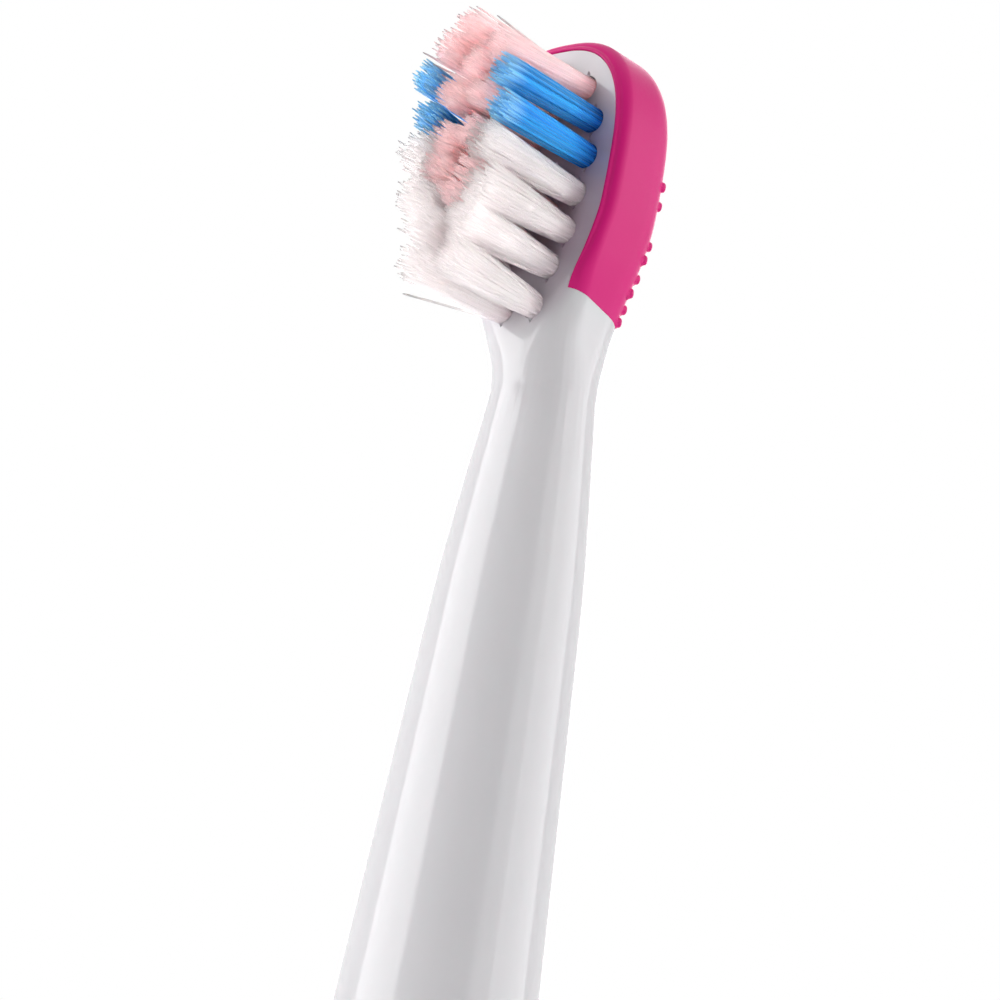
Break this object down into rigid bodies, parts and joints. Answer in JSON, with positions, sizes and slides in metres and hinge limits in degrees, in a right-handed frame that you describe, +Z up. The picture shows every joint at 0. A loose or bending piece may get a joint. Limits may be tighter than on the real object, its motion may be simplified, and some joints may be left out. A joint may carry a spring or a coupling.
{
  "type": "electric toothbrush",
  "caption": "Sonic electric toothbrush: white handle with pink grips, and a pull-off brush head with a white neck, a soft pink cover and pink, blue and white tufts.",
  "frame": {"origin": "middle of the flat base ring, on the surface that the toothbrush stands on", "axes": "+Z up the handle and along the drive shaft to the tip of the head, -Y the way the bristles and the power button face, +X to the right seen from the front"},
  "size_m": [0.0278, 0.0282, 0.2446],
  "materials": {
    "shell_plastic": "glossy white moulded plastic",
    "trim_plastic": "pale grey moulded plastic",
    "inner_plastic": "dark moulded plastic",
    "seal_rubber": "soft grey rubber",
    "pink_soft_plastic": "soft pink overmoulding with a satin skin",
    "copper_wire": "enamelled copper winding",
    "cell_wrap": "shrink film over the cell",
    "nickel_strip": "nickel strip",
    "board_laminate": "green glass-fibre laminate",
    "bright_steel": "bright steel",
    "soft_iron": "stamped soft iron",
    "bearing_bronze": "sintered bronze",
    "magnet_plating": "nickel-plated magnet",
    "lens_plastic": "clear light pipe",
    "led_plastic": "small light-emitting diode",
    "pink_filament": "thin translucent filaments, feathered tips",
    "white_filament": "thin translucent filaments, feathered tips",
    "blue_filament": "thin filaments, feathered tips"
  },
  "bodies": {
    "handle": {"handle_shell": "shell_plastic", "nose_ring": "trim_plastic", "shaft_seal": "seal_rubber", "front_grip": "pink_soft_plastic", "back_grip": "pink_soft_plastic", "base_cap": "trim_plastic", "base_seal": "seal_rubber", "charging_coil": "copper_wire", "chassis": "inner_plastic", "battery_cell": "cell_wrap", "battery_tab_bottom": "nickel_strip", "battery_tab_top": "nickel_strip", "circuit_board": "board_laminate", "control_chip": "inner_plastic", "charge_chip": "inner_plastic", "board_screw_bottom": "bright_steel", "board_screw_top": "bright_steel", "button_seal": "seal_rubber", "power_switch": "inner_plastic", "indicator_lens": "lens_plastic", "status_led": "led_plastic", "rear_damper": "seal_rubber", "motor_end_plate": "bright_steel", "motor_frame": "bright_steel", "stator_yoke": "soft_iron", "coil_bobbin": "trim_plastic", "drive_coil": "copper_wire", "rear_bearing": "bearing_bronze", "front_bearing": "bearing_bronze", "front_damper": "seal_rubber"},
    "drive": {"rotor_holder": "trim_plastic", "magnet_left": "magnet_plating", "magnet_right": "magnet_plating", "drive_shaft": "bright_steel"},
    "brush_head": {"neck_shell": "shell_plastic", "head_insert": "trim_plastic", "head_cover": "pink_soft_plastic", "pink_tufts": "pink_filament", "white_tufts": "white_filament", "blue_tufts_left": "blue_filament", "blue_tufts_right": "blue_filament", "shaft_socket": "trim_plastic", "socket_clip": "bright_steel"},
    "button": {"power_button": "shell_plastic"}
  },
  "joints": [
    {"name": "brush_drive", "type": "hinge", "parent": "handle", "child": "drive", "pos_m": [0, 0, 0.168], "axis": [0, 0, 1], "range_deg": [-6, 6], "stiffness_Nm_per_rad": 0.01},
    {"name": "brush_head_pull", "type": "slide", "parent": "drive", "child": "brush_head", "axis": [0, 0, 1], "range_m": [0, 0.03]},
    {"name": "power_press", "type": "slide", "parent": "handle", "child": "button", "axis": [0, 1, 0], "range_m": [0, 0.0006], "stiffness_N_per_m": 2500}
  ]
}
